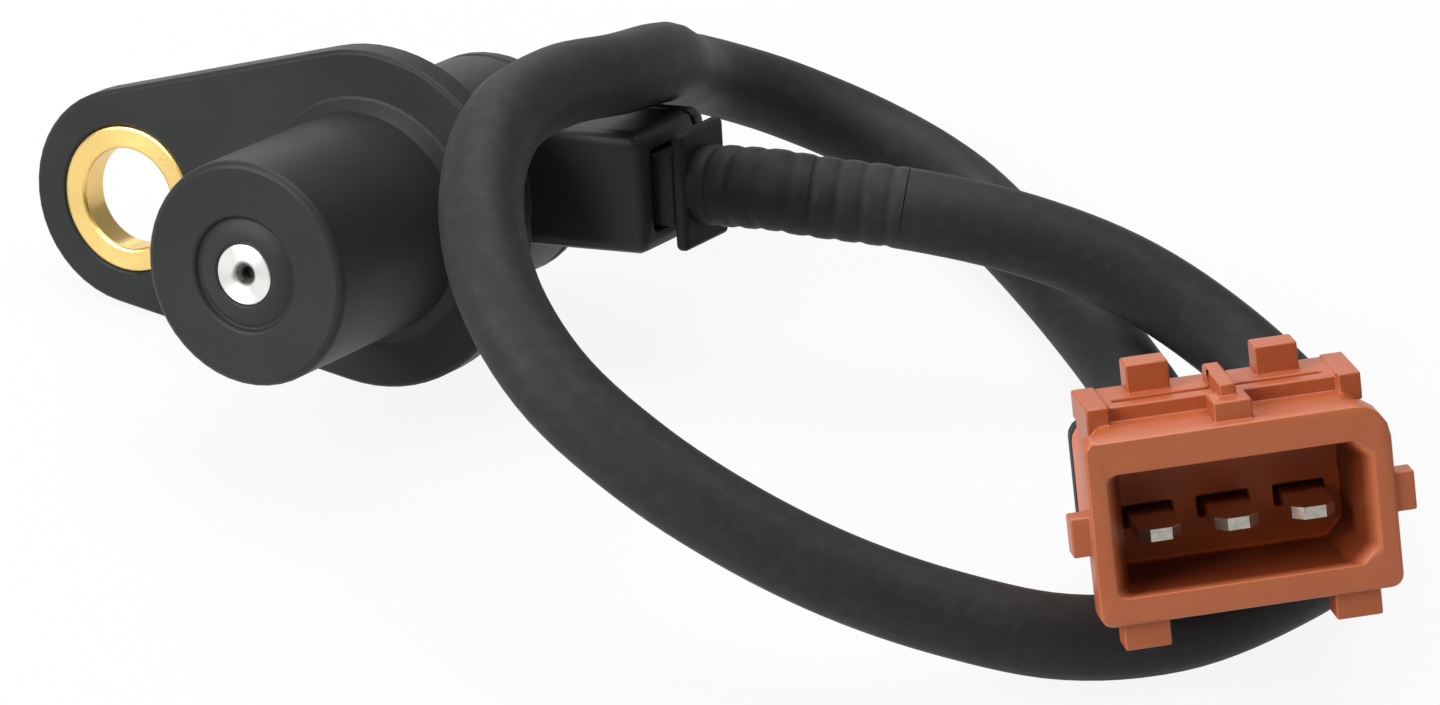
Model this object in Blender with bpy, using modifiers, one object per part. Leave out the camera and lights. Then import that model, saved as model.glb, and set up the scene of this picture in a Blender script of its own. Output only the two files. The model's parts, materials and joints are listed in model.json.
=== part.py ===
"""Crankshaft position sensor: a probe with a bolted flange, its cable, and a three-way tab connector.

Metres, +Z up. The sensor lies on the plane z = 0 as it would on a bench, on the rims of its flange, its
ear and its rear end, with the probe pointing along -Y and the bolt ear along -X. The origin is under the
middle of the sensor itself; the cable and its connector lie beside it.
"""
import math

import bmesh
import bpy
from mathutils import Vector
from mathutils.geometry import interpolate_bezier

MM = 0.001

# Fits between neighbouring pieces.
PRESS_GAP = 0.12 * MM
GAP = 0.3 * MM

# Sensor, in its own frame: Y runs back along the probe's axis from the flange's front face, X runs to the
# cable's side, and Z is up.
PROBE_RADIUS = 7.75 * MM
PROBE_LENGTH = 15.2 * MM
PROBE_WALL = 1.5 * MM
TIP_WALL = 1.7 * MM
TIP_EDGE = 0.5 * MM
TIP_RING_RADIUS = 4.0 * MM
TIP_RING_WIDTH = 0.85 * MM
TIP_RING_DEPTH = 0.45 * MM
FLANGE_RADIUS = 11.85 * MM
FLANGE_THICKNESS = 2.4 * MM
FLANGE_EDGE = 0.3 * MM
SHOULDER_STEP = 0.9 * MM
SHOULDER_THICKNESS = 1.1 * MM
EAR_RADIUS = 7.7 * MM
EAR_DISTANCE = 19.7 * MM
BODY_RADIUS = 8.0 * MM
BODY_BORE_RADIUS = 6.4 * MM
BODY_END = 17.5 * MM
BODY_FILLET = 0.8 * MM
COVER_THICKNESS = 1.8 * MM
COVER_SPIGOT = 1.0 * MM

# Bush in the ear, for the bolt.
BUSH_RADIUS = 5.15 * MM
BUSH_BORE_RADIUS = 3.5 * MM
BUSH_CHAMFER = 0.3 * MM

# Side outlet, where the cable leaves.
OUTLET_END = 17.0 * MM
OUTLET_HEIGHT = 8.6 * MM
OUTLET_DEPTH = 9.2 * MM
OUTLET_RISE = 0.9 * MM
OUTLET_WALL = 1.4 * MM
OUTLET_ROUND = 0.9 * MM
GLAND_NECK_HEIGHT = 5.0 * MM
GLAND_NECK_DEPTH = 5.2 * MM
GLAND_NECK_LENGTH = 1.5 * MM
GLAND_PLATE_HEIGHT = 8.2 * MM
GLAND_PLATE_DEPTH = 5.8 * MM
GLAND_PLATE_THICKNESS = 1.0 * MM
GLAND_HEAD_LENGTH = 1.2 * MM
GLAND_HEAD_LIP = 0.3 * MM
GLAND_OFFSET = 0.25 * MM

# Coil, core and magnet inside the probe.
POLE_RADIUS = 2.0 * MM
CENTRE_HOLE_RADIUS = 0.95 * MM
CENTRE_HOLE_DEPTH = 0.5 * MM
PILOT_RADIUS = 0.45 * MM
PILOT_DEPTH = 1.3 * MM
BOBBIN_BACK = -1.0 * MM
BOBBIN_CORE_WALL = 0.7 * MM
BOBBIN_CHEEK = 0.9 * MM
WINDING_RADIUS = 5.2 * MM
MAGNET_RADIUS = 4.6 * MM
MAGNET_LENGTH = 6.0 * MM
YOKE_THICKNESS = 1.2 * MM
TONGUE_THICKNESS = 1.1 * MM
TONGUE_END = 12.0 * MM
TERMINAL_WIDTH = 1.0 * MM
TERMINAL_THICKNESS = 0.4 * MM
TERMINAL_START = -3.0 * MM
TERMINAL_END = 11.6 * MM
CORE_PITCH = 1.3 * MM
CORE_RADIUS = 0.5 * MM
CORE_START = 8.6 * MM

# Cable.
CABLE_RADIUS = 2.8 * MM
RELIEF_LENGTH = 14.0 * MM
RELIEF_RIBS = 8
RELIEF_RIB_DEPTH = 0.15 * MM
CABLE_STEP = 2 * CABLE_RADIUS

# Connector, in its own frame: X across, Y back from the mouth, Z up.
SHROUD_WIDTH = 17.4 * MM
SHROUD_HEIGHT = 12.2 * MM
SHROUD_DEPTH = 7.6 * MM
SHROUD_CORNER = 0.8 * MM
SHROUD_KEY_CORNER = 1.6 * MM
SIDE_WALL = 1.1 * MM
TOP_WALL = 2.3 * MM
BOTTOM_WALL = 1.8 * MM
COLLAR_WIDTH = 19.6 * MM
COLLAR_DEPTH = 2.2 * MM
COLLAR_CORNER = 0.8 * MM
COLLAR_KEY_CORNER = 2.3 * MM
MOUTH_LEAD_IN = 1.0 * MM
MOUTH_LEAD_DEPTH = 1.4 * MM
MOUTH_CORNER = 0.6 * MM
MOUTH_KEY_CHAMFER = 1.2 * MM
DETAIL_EDGE = 0.15 * MM
REAR_WALL = 1.8 * MM
RELIEF_START = 7.0 * MM
RELIEF_HEIGHT = 1.0 * MM
CHAMBER_WIDTH = 15.6 * MM
CHAMBER_HEIGHT = 7.6 * MM
CHAMBER_WALL = 1.1 * MM
CHAMBER_CORNER = 1.2 * MM
CHAMBER_LENGTH = 8.6 * MM
RIM_START = 4.2 * MM
RIM_HEIGHT = 1.0 * MM
RIM_END_WIDTH = 1.3 * MM
RIM_END_OVERHANG = 0.2 * MM
RIM_END_RISE = 0.2 * MM
RIM_END_START = 3.6 * MM
RIM_GROOVE_WIDTH = 0.6 * MM
RIM_GROOVE_DEPTH = 0.4 * MM
RIM_GROOVE_START = 5.4 * MM
POST_SPACING = 8.4 * MM
POST_WIDTH = 2.8 * MM
POST_DEPTH = 2.2 * MM
POST_HEIGHT = 1.9 * MM
LATCH_WIDTH = 2.5 * MM
LATCH_START = 0.6 * MM
LATCH_LENGTH = 2.6 * MM
LATCH_HEIGHT = 1.3 * MM
LATCH_RIB_WIDTH = 1.1 * MM
LATCH_RIB_HEIGHT = 2.1 * MM
LATCH_RIB_END = 7.6 * MM
LUG_WIDTH = 1.3 * MM
LUG_HEIGHT = 2.6 * MM
LUG_DEPTH = 1.7 * MM
LUG_START = 0.3 * MM
FOOT_SPACING = 13.7 * MM
FOOT_WIDTH = 3.0 * MM
FOOT_HEIGHT = 1.8 * MM
FOOT_DEPTH = 2.2 * MM
FOOT_START = 0.5 * MM
TAB_PITCH = 5.0 * MM
TAB_WIDTH = 2.8 * MM
TAB_THICKNESS = 0.8 * MM
TAB_TIP = 2.6 * MM
TAB_LEAD = 0.7 * MM
TAB_DROP = 1.2 * MM
CRIMP_LENGTH = 2.2 * MM
CRIMP_WIDTH = 1.6 * MM
LOCK_THICKNESS = 1.1 * MM
BOOT_LENGTH = 8.0 * MM
BOOT_END_RADIUS = 3.4 * MM
BOOT_COLLAR = 1.2 * MM

# Where the sensor and the connector lie: the flange's front centre, and the mouth's centre with its turn.
HEAD_AT = (3.64 * MM, -1.0 * MM)
CONNECTOR_AT = (72.9 * MM, -5.7 * MM, 15.2 * MM)
CONNECTOR_YAW = math.radians(38.4)
CONNECTOR_PITCH = math.radians(-20.1)
CONNECTOR_ROLL = math.radians(-3.8)

# The cable's route after the outlet, chosen along its loop: over the table, round and over the sensor's
# outlet, under its own first stretch, and into the connector's back.
ROUTE = [
    (30.1 * MM, 13.7 * MM, 14.5 * MM),
    (37.1 * MM, 16.5 * MM, 14.0 * MM),
    (43.7 * MM, 19.8 * MM, 12.3 * MM),
    (50.3 * MM, 22.4 * MM, 9.7 * MM),
    (57.1 * MM, 23.1 * MM, 6.6 * MM),
    (63.9 * MM, 21.3 * MM, 4.1 * MM),
    (69.8 * MM, 16.9 * MM, 3.0 * MM),
    (72.4 * MM, 10.2 * MM, 2.9 * MM),
    (71.0 * MM, 3.0 * MM, 3.1 * MM),
    (67.3 * MM, -3.6 * MM, 2.9 * MM),
    (62.1 * MM, -8.9 * MM, 3.7 * MM),
    (56.1 * MM, -13.1 * MM, 5.9 * MM),
    (49.7 * MM, -16.4 * MM, 8.6 * MM),
    (43.1 * MM, -18.6 * MM, 11.7 * MM),
    (36.3 * MM, -19.5 * MM, 14.9 * MM),
    (29.5 * MM, -18.8 * MM, 18.2 * MM),
    (23.5 * MM, -15.6 * MM, 21.4 * MM),
    (18.9 * MM, -10.1 * MM, 23.9 * MM),
    (16.2 * MM, -3.2 * MM, 24.9 * MM),
    (15.8 * MM, 4.2 * MM, 23.7 * MM),
    (16.3 * MM, 11.4 * MM, 21.1 * MM),
    (15.6 * MM, 18.4 * MM, 18.1 * MM),
    (13.4 * MM, 24.3 * MM, 13.6 * MM),
    (12.4 * MM, 30.3 * MM, 9.6 * MM),
    (15.4 * MM, 35.4 * MM, 6.0 * MM),
    (21.5 * MM, 37.7 * MM, 3.5 * MM),
    (28.5 * MM, 36.2 * MM, 2.9 * MM),
    (35.0 * MM, 32.5 * MM, 2.9 * MM),
    (41.2 * MM, 28.3 * MM, 2.9 * MM),
    (47.2 * MM, 23.8 * MM, 2.9 * MM),
    (52.9 * MM, 19.0 * MM, 3.1 * MM),
]

ROUND = 48
SMALL_ROUND = 24

BLACK_PLASTIC = ((0.018, 0.019, 0.021), 0.5, 0.0)
BLACK_RUBBER = ((0.022, 0.023, 0.025), 0.6, 0.0)
ORANGE_PLASTIC = ((0.47, 0.115, 0.04), 0.45, 0.0)
WHITE_PLASTIC = ((0.7, 0.68, 0.62), 0.5, 0.0)
BRASS = ((0.78, 0.55, 0.22), 0.3, 1.0)
STEEL = ((0.75, 0.75, 0.76), 0.25, 1.0)
TINNED = ((0.8, 0.8, 0.78), 0.3, 1.0)
MAGNET_GREY = ((0.2, 0.2, 0.21), 0.4, 0.8)
COPPER = ((0.6, 0.22, 0.09), 0.35, 1.0)
CORE_COLOURS = (
    ((0.5, 0.03, 0.02), 0.5, 0.0),
    ((0.6, 0.6, 0.58), 0.5, 0.0),
    ((0.35, 0.16, 0.05), 0.5, 0.0),
)


def clear_scene():
    for obj in list(bpy.data.objects):
        bpy.data.objects.remove(obj, do_unlink=True)


def collection(name):
    found = bpy.data.collections.new(name)
    bpy.context.scene.collection.children.link(found)
    return found


def material(name, look):
    colour, roughness, metallic = look
    made = bpy.data.materials.get(name) or bpy.data.materials.new(name)
    made.use_nodes = True
    shader = made.node_tree.nodes["Principled BSDF"]
    shader.inputs["Base Color"].default_value = (*colour, 1.0)
    shader.inputs["Roughness"].default_value = roughness
    shader.inputs["Metallic"].default_value = metallic
    made.diffuse_color = (*colour, 1.0)
    return made


def add_object(name, data, carrier, place=(0, 0, 0), turn=(0, 0, 0)):
    """Link a mesh or a curve as a named piece under its carrier."""
    obj = bpy.data.objects.new(name, data)
    parts.objects.link(obj)
    obj.parent = carrier
    obj.location = place
    obj.rotation_euler = turn
    return obj


def paint(obj, look_name, look):
    obj.data.materials.clear()
    obj.data.materials.append(material(look_name, look))
    return obj


def as_cutter(obj):
    """Hide a shape that only cuts or joins another."""
    parts.objects.unlink(obj)
    cutters.objects.link(obj)
    obj.hide_render = True
    obj.display_type = "WIRE"
    return obj


def combine(obj, other, operation):
    step = obj.modifiers.new(f"{operation.lower()} {other.name}", "BOOLEAN")
    step.operation = operation
    step.object = as_cutter(other)
    step.solver = "EXACT"


def cut(obj, *others):
    for other in others:
        combine(obj, other, "DIFFERENCE")


def join(obj, *others):
    for other in others:
        combine(obj, other, "UNION")


def bevel(obj, width, segments=2, angle=35):
    step = obj.modifiers.new("rounded edges", "BEVEL")
    step.width = width
    step.segments = segments
    step.limit_method = "ANGLE"
    step.angle_limit = math.radians(angle)
    return obj


ALONG_Y = (-math.pi / 2, 0, 0)
FACING_Y = (math.pi / 2, 0, 0)


def turned(name, profile, carrier, place=(0, 0, 0), turn=ALONG_Y, closed=False, steps=ROUND):
    """A turned shape from (radius, height) points that run down its outer side."""
    mesh = bpy.data.meshes.new(name)
    points = [(radius, 0, height) for radius, height in profile]
    edges = [(i, i + 1) for i in range(len(points) - 1)]
    if closed:
        edges.append((len(points) - 1, 0))
    mesh.from_pydata(points, edges, [])
    obj = add_object(name, mesh, carrier, place, turn)
    screw = obj.modifiers.new("turn", "SCREW")
    screw.angle = 2 * math.pi
    screw.steps = steps
    screw.render_steps = steps
    screw.use_merge_vertices = True
    screw.merge_threshold = 1e-6
    return obj


def block(name, low, high, carrier, edge=0.0):
    """A box between two corners, with its edges rounded where it has a rounding."""
    shape = bmesh.new()
    bmesh.ops.create_cube(shape, size=1)
    size = Vector(high) - Vector(low)
    bmesh.ops.scale(shape, vec=size, verts=shape.verts)
    mesh = bpy.data.meshes.new(name)
    shape.to_mesh(mesh)
    shape.free()
    obj = add_object(name, mesh, carrier, (Vector(low) + Vector(high)) / 2)
    if edge:
        bevel(obj, edge)
    return obj


def plate(name, outline, front, back, carrier):
    """A flat piece from a closed outline of (x, z) points, between two depths along Y."""
    curve = bpy.data.curves.new(name, "CURVE")
    curve.dimensions = "2D"
    curve.fill_mode = "BOTH"
    curve.extrude = (back - front) / 2
    spline = curve.splines.new("POLY")
    spline.points.add(len(outline) - 1)
    for point, (x, z) in zip(spline.points, outline):
        point.co = (x, z, 0, 1)
    spline.use_cyclic_u = True
    flat = add_object(name, curve, carrier, (0, (front + back) / 2, 0), FACING_Y)
    return solid_from_curve(flat)


def solid_from_curve(obj):
    """Turn a curve piece into a closed mesh, so that it can be cut, joined or bevelled."""
    name, carrier = obj.name, obj.parent
    place, turn = obj.location.copy(), obj.rotation_euler.copy()
    bpy.context.view_layer.update()
    graph = bpy.context.evaluated_depsgraph_get()
    mesh = bpy.data.meshes.new_from_object(obj.evaluated_get(graph))
    bpy.data.objects.remove(obj, do_unlink=True)
    shape = bmesh.new()
    shape.from_mesh(mesh)
    bmesh.ops.remove_doubles(shape, verts=shape.verts, dist=1e-6)
    bmesh.ops.dissolve_limit(shape, angle_limit=math.radians(0.5), verts=shape.verts, edges=shape.edges)
    bmesh.ops.recalc_face_normals(shape, faces=shape.faces)
    shape.to_mesh(mesh)
    shape.free()
    return add_object(name, mesh, carrier, place, turn)


def tube(name, points, radius, carrier=None, resolution=2, radii=None):
    """A round wire or cable through a list of points, with filled ends."""
    curve = bpy.data.curves.new(name, "CURVE")
    curve.dimensions = "3D"
    curve.bevel_depth = radius
    curve.bevel_resolution = resolution
    curve.use_fill_caps = True
    spline = curve.splines.new("POLY")
    spline.points.add(len(points) - 1)
    for i, point in enumerate(points):
        spline.points[i].co = (*point, 1)
        if radii:
            spline.points[i].radius = radii[i] / radius
    return add_object(name, curve, carrier)


def arc(centre, radius, start, end, steps):
    """Points on an arc from one angle to another, in degrees."""
    angles = [math.radians(start + (end - start) * i / steps) for i in range(steps + 1)]
    return [(centre[0] + radius * math.cos(a), centre[1] + radius * math.sin(a)) for a in angles]


def rounded_rectangle(left, right, bottom, top, radii, steps=4):
    """An outline with a corner radius each: top right, top left, bottom left, bottom right."""
    corners = [
        (right, top, -1, -1, 0),
        (left, top, 1, -1, 90),
        (left, bottom, 1, 1, 180),
        (right, bottom, -1, 1, 270),
    ]
    points = []
    for (x, z, side_x, side_z, start), radius in zip(corners, radii):
        centre = (x + side_x * radius, z + side_z * radius)
        points += arc(centre, radius, start, start + 90, steps)
    return points


def lying_angles():
    """The sensor's pitch and roll when its flange, ear and rear end all touch the table.

    Each rim is a rounded edge, so it touches on a small circle inside its corner.
    """
    drop = (FLANGE_RADIUS - FLANGE_EDGE) - (BODY_RADIUS - BODY_FILLET)
    run = (BODY_END - BODY_FILLET) - (FLANGE_THICKNESS - FLANGE_EDGE)
    reach = math.hypot(drop, run)
    pitch = math.acos((BODY_FILLET - FLANGE_EDGE) / reach) - math.atan2(run, drop)
    roll = math.asin((FLANGE_RADIUS - EAR_RADIUS) / EAR_DISTANCE)
    return pitch, roll


def add_carrier(name, place, turn):
    """An empty that holds the pieces of one group; its turn is applied about Y, then X, then Z."""
    empty = bpy.data.objects.new(name, None)
    parts.objects.link(empty)
    empty.rotation_mode = "YXZ"
    empty.location = place
    empty.rotation_euler = turn
    return empty


def add_head_carrier():
    pitch, roll = lying_angles()
    radius, depth = FLANGE_RADIUS - FLANGE_EDGE, FLANGE_THICKNESS - FLANGE_EDGE
    height = radius * math.cos(pitch) + depth * math.sin(pitch) + FLANGE_EDGE
    return add_carrier("sensor_frame", (*HEAD_AT, height), (-pitch, -roll, 0))


def flange_outline():
    """A big circle on the probe's axis and a small one at the ear, joined by their tangents."""
    lean = math.degrees(math.acos((FLANGE_RADIUS - EAR_RADIUS) / EAR_DISTANCE))
    big = arc((0, 0), FLANGE_RADIUS, 180 - lean, lean - 180, 40)
    small = arc((-EAR_DISTANCE, 0), EAR_RADIUS, 180 + lean, 180 - lean, 20)
    return big + small


def outlet_heights():
    """The outlet's lower and upper side."""
    return OUTLET_RISE - OUTLET_HEIGHT / 2, OUTLET_RISE + OUTLET_HEIGHT / 2


def outlet_front():
    return BODY_END - OUTLET_DEPTH


def cover_seam():
    """Where the moulding ends and the rear cover begins."""
    return BODY_END - COVER_THICKNESS


def body_outline(radius, low, high, end, corner):
    """The rear body's outline with the outlet on its side, seen along the probe."""
    top = math.degrees(math.asin(high / radius))
    bottom = math.degrees(math.asin(low / radius))
    ring = arc((0, 0), radius, top, 360 + bottom, 40)
    lower = arc((end - corner, low + corner), corner, 270, 360, 4)
    upper = arc((end - corner, high - corner), corner, 0, 90, 4)
    return ring + lower + upper


def add_housing(carrier):
    """The moulding: probe, flange with its ear, rear body and cable outlet, open at the back."""
    low, high = outlet_heights()
    back = cover_seam()
    shoulder_back = FLANGE_THICKNESS + SHOULDER_THICKNESS
    shoulder_radius = FLANGE_RADIUS - SHOULDER_STEP
    inside = FLANGE_THICKNESS / 2
    root = 0.8 * MM
    profile = [
        (0, back),
        (BODY_RADIUS, back),
        (BODY_RADIUS, shoulder_back + root),
        (BODY_RADIUS + root, shoulder_back),
        (shoulder_radius, shoulder_back),
        (shoulder_radius, inside),
        (PROBE_RADIUS + root, inside),
        (PROBE_RADIUS + root, 0),
        (PROBE_RADIUS, -root),
        (PROBE_RADIUS, TIP_EDGE - PROBE_LENGTH),
        (PROBE_RADIUS - 0.3 * TIP_EDGE, 0.3 * TIP_EDGE - PROBE_LENGTH),
        (PROBE_RADIUS - TIP_EDGE, -PROBE_LENGTH),
        (TIP_RING_RADIUS, -PROBE_LENGTH),
        (TIP_RING_RADIUS - 0.25 * TIP_RING_WIDTH, TIP_RING_DEPTH - PROBE_LENGTH),
        (TIP_RING_RADIUS - TIP_RING_WIDTH, -PROBE_LENGTH),
        (0, -PROBE_LENGTH),
    ]
    housing = turned("sensor_housing", profile, carrier)
    flange = plate("flange_plate", flange_outline(), 0, FLANGE_THICKNESS, carrier)
    bevel(flange, FLANGE_EDGE)
    outlet_back = (OUTLET_END, back + OUTLET_ROUND, high)
    outlet = block("outlet_box", (0, outlet_front(), low), outlet_back, carrier, OUTLET_ROUND)
    reach = 2 * OUTLET_END
    trim = block("outlet_trim", (-reach, back, -reach), (reach, back + reach, reach), carrier)
    join(housing, flange, outlet)
    cut(housing, trim, *housing_cutters(carrier))
    return paint(housing, "black_plastic", BLACK_PLASTIC)


def housing_cutters(carrier):
    """The bore, the outlet's chamber, the gland's slot, the bush's seat and the pole's hole."""
    low, high = outlet_heights()
    probe_bore = PROBE_RADIUS - PROBE_WALL
    beyond = BODY_END
    bore = turned(
        "main_bore",
        [
            (0, beyond),
            (BODY_BORE_RADIUS, beyond),
            (BODY_BORE_RADIUS, SHOULDER_THICKNESS),
            (probe_bore, SHOULDER_THICKNESS),
            (probe_bore, TIP_WALL - PROBE_LENGTH),
            (0, TIP_WALL - PROBE_LENGTH),
        ],
        carrier,
    )
    chamber = block(
        "outlet_chamber",
        (0, outlet_front() + OUTLET_WALL, low + OUTLET_WALL),
        (OUTLET_END - OUTLET_WALL, beyond, high - OUTLET_WALL),
        carrier,
    )
    neck_low, neck_high = OUTLET_RISE - GLAND_NECK_HEIGHT / 2, OUTLET_RISE + GLAND_NECK_HEIGHT / 2
    slot = block(
        "gland_slot",
        (0, gland_depth() - GLAND_NECK_DEPTH / 2 - GAP, neck_low - GAP),
        (2 * OUTLET_END, beyond, neck_high + GAP),
        carrier,
    )
    seat = through_hole("bush_seat", BUSH_RADIUS + PRESS_GAP, BODY_END, carrier, (-EAR_DISTANCE, 0, 0))
    pole_hole = through_hole("pole_hole", POLE_RADIUS + PRESS_GAP, 0, carrier)
    return [bore, chamber, slot, seat, pole_hole]


def through_hole(name, radius, back, carrier, place=(0, 0, 0)):
    """A cylinder along the probe, from a given depth out past the tip."""
    front = -2 * PROBE_LENGTH
    return turned(name, [(0, back), (radius, back), (radius, front), (0, front)], carrier, place)


def gland_depth():
    """How far behind the flange's front the cable's axis leaves."""
    return (outlet_front() + BODY_END) / 2 - GLAND_OFFSET


def add_rear_cover(carrier):
    """The cover on the back of the body and outlet, with a spigot inside the body."""
    low, high = outlet_heights()
    back = cover_seam()
    outline = body_outline(BODY_RADIUS, low, high, OUTLET_END, OUTLET_ROUND)
    cover = plate("rear_cover", outline, back - 2 * BODY_FILLET, BODY_END, carrier)
    bevel(cover, BODY_FILLET, 3, 60)
    reach = 2 * OUTLET_END
    trim = block("cover_trim", (-reach, 0, -reach), (reach, back + GAP, reach), carrier)
    cut(cover, trim)
    spigot_radius = BODY_BORE_RADIUS - GAP
    ring = arc((0, 0), spigot_radius, 0, 350, 35)
    spigot = plate("cover_spigot", ring, back - COVER_SPIGOT, back + 2 * GAP, carrier)
    join(cover, spigot)
    return paint(cover, "black_plastic", BLACK_PLASTIC)


def add_bush(carrier):
    """The metal bush that the bolt clamps through."""
    edge = BUSH_CHAMFER
    profile = [
        (BUSH_BORE_RADIUS + edge, FLANGE_THICKNESS),
        (BUSH_RADIUS - edge / 2, FLANGE_THICKNESS),
        (BUSH_RADIUS, FLANGE_THICKNESS - edge / 2),
        (BUSH_RADIUS, edge / 2),
        (BUSH_RADIUS - edge / 2, 0),
        (BUSH_BORE_RADIUS + edge, 0),
        (BUSH_BORE_RADIUS, edge),
        (BUSH_BORE_RADIUS, FLANGE_THICKNESS - edge),
    ]
    bush = turned("mounting_bush", profile, carrier, (-EAR_DISTANCE, 0, 0), closed=True)
    return paint(bush, "brass", BRASS)


def coil_span():
    """The bobbin's front and back along the probe."""
    return TIP_WALL + GAP - PROBE_LENGTH, BOBBIN_BACK


def add_pole_pin(carrier):
    """The steel core, with a drilled centre in the end that shows in the probe's tip."""
    coil_back = coil_span()[1]
    tip = -PROBE_LENGTH
    profile = [
        (0, coil_back),
        (POLE_RADIUS, coil_back),
        (POLE_RADIUS, tip + 0.15 * MM),
        (POLE_RADIUS - 0.15 * MM, tip),
        (CENTRE_HOLE_RADIUS, tip),
        (PILOT_RADIUS, tip + CENTRE_HOLE_DEPTH),
        (PILOT_RADIUS, tip + PILOT_DEPTH),
        (0, tip + PILOT_DEPTH),
    ]
    return paint(turned("pole_pin", profile, carrier, steps=SMALL_ROUND), "steel", STEEL)


def add_bobbin(carrier):
    front, back = coil_span()
    outer = PROBE_RADIUS - PROBE_WALL - GAP
    core = POLE_RADIUS + GAP + BOBBIN_CORE_WALL
    hole = POLE_RADIUS + GAP
    profile = [
        (hole, back),
        (outer, back),
        (outer, back - BOBBIN_CHEEK),
        (core, back - BOBBIN_CHEEK),
        (core, front + BOBBIN_CHEEK),
        (outer, front + BOBBIN_CHEEK),
        (outer, front),
        (hole, front),
    ]
    bobbin = turned("coil_bobbin", profile, carrier, closed=True, steps=SMALL_ROUND)
    return paint(bobbin, "white_plastic", WHITE_PLASTIC)


def add_winding(carrier):
    front, back = coil_span()
    inner = POLE_RADIUS + BOBBIN_CORE_WALL + 2 * GAP
    low, high = front + BOBBIN_CHEEK + GAP, back - BOBBIN_CHEEK - GAP
    profile = [(inner, high), (WINDING_RADIUS, high), (WINDING_RADIUS, low), (inner, low)]
    winding = turned("coil_winding", profile, carrier, closed=True, steps=SMALL_ROUND)
    return paint(winding, "copper", COPPER)


def add_disc(name, radius, front, length, carrier, look_name, look):
    edge = 0.2 * MM
    back = front + length
    profile = [
        (0, back),
        (radius - edge, back),
        (radius, back - edge),
        (radius, front + edge),
        (radius - edge, front),
        (0, front),
    ]
    return paint(turned(name, profile, carrier, steps=SMALL_ROUND), look_name, look)


def add_magnet_and_yoke(carrier):
    magnet_front = coil_span()[1] + GAP
    add_disc("magnet", MAGNET_RADIUS, magnet_front, MAGNET_LENGTH, carrier, "magnet_grey", MAGNET_GREY)
    yoke_front = magnet_front + MAGNET_LENGTH + GAP
    add_disc("yoke_disc", MAGNET_RADIUS, yoke_front, YOKE_THICKNESS, carrier, "steel", STEEL)
    return yoke_front + YOKE_THICKNESS


def add_terminal_carrier(carrier, front):
    """A disc behind the magnet with a tongue into the outlet, which the terminals lie on."""
    back = terminal_front() - GAP
    radius = BODY_BORE_RADIUS - GAP
    disc = add_disc("terminal_carrier", radius, front, back - front, carrier, "white_plastic", WHITE_PLASTIC)
    half = (OUTLET_HEIGHT - 2 * OUTLET_WALL) / 2 - GAP
    tongue = block(
        "carrier_tongue",
        (0, back - TONGUE_THICKNESS, OUTLET_RISE - half),
        (TONGUE_END, back - 0.1 * MM, OUTLET_RISE + half),
        carrier,
    )
    join(disc, tongue)


def terminal_front():
    """The terminals' front face, just in front of the cable's cores."""
    return gland_depth() - CORE_RADIUS - GAP - TERMINAL_THICKNESS


def core_heights():
    return [OUTLET_RISE + (i - 1) * CORE_PITCH for i in range(3)]


def add_terminals(carrier):
    front = terminal_front()
    for i, height in enumerate(core_heights()):
        strip = block(
            f"lead_terminal_{i + 1}",
            (TERMINAL_START, front, height - TERMINAL_WIDTH / 2),
            (TERMINAL_END, front + TERMINAL_THICKNESS, height + TERMINAL_WIDTH / 2),
            carrier,
        )
        paint(strip, "tinned", TINNED)


def gland_end():
    """Where the gland's outer face is, out along X."""
    return OUTLET_END + GLAND_NECK_LENGTH + GLAND_PLATE_THICKNESS


def add_lead_cores(carrier):
    """The cable's cores inside the sensor, from the terminals out to the cable's end."""
    for i, height in enumerate(core_heights()):
        start = (CORE_START, gland_depth(), height)
        end = (gland_end(), gland_depth(), height)
        core = tube(f"lead_core_{i + 1}", [start, end], CORE_RADIUS, carrier)
        paint(core, f"core_{i + 1}", CORE_COLOURS[i])


def add_gland(carrier):
    """The moulded gland: a head inside the outlet, a neck in its wall and a plate outside."""
    depth = gland_depth()
    inner = OUTLET_END - OUTLET_WALL - GAP

    def slab(name, start, end, depth_size, height_size, edge=0.0):
        low = (start, depth - depth_size / 2, OUTLET_RISE - height_size / 2)
        high = (end, depth + depth_size / 2, OUTLET_RISE + height_size / 2)
        return block(name, low, high, carrier, edge)

    head_height = GLAND_NECK_HEIGHT + 2 * GLAND_HEAD_LIP
    gland = slab("cable_gland", inner - GLAND_HEAD_LENGTH, inner, GLAND_NECK_DEPTH, head_height)
    plate_start = OUTLET_END + GLAND_NECK_LENGTH
    neck_start, neck_end = inner - GLAND_HEAD_LENGTH / 2, plate_start + 0.1 * MM
    neck = slab("gland_neck", neck_start, neck_end, GLAND_NECK_DEPTH - 0.1 * MM, GLAND_NECK_HEIGHT)
    outer = slab("gland_plate", plate_start, gland_end(), GLAND_PLATE_DEPTH, GLAND_PLATE_HEIGHT, 0.3 * MM)
    room = 2 * (CORE_RADIUS + GAP)
    passage = slab("core_passage", 0, 2 * OUTLET_END, room, 2 * CORE_PITCH + room)
    join(gland, neck, outer)
    cut(gland, passage)
    return paint(gland, "black_rubber", BLACK_RUBBER)


def smooth_route(points):
    """Closely spaced points on a smooth curve through the route's own points."""
    ends = [2 * points[0] - points[1], *points, 2 * points[-1] - points[-2]]
    fine = []
    for before, start, end, after in zip(ends, ends[1:], ends[2:], ends[3:]):
        span = (end - start).length
        lead_out = (end - before).normalized() * span / 3
        lead_in = (after - start).normalized() * span / 3
        fine += interpolate_bezier(start, start + lead_out, end - lead_in, end, 24)[:-1]
    return fine + [points[-1]]


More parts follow.
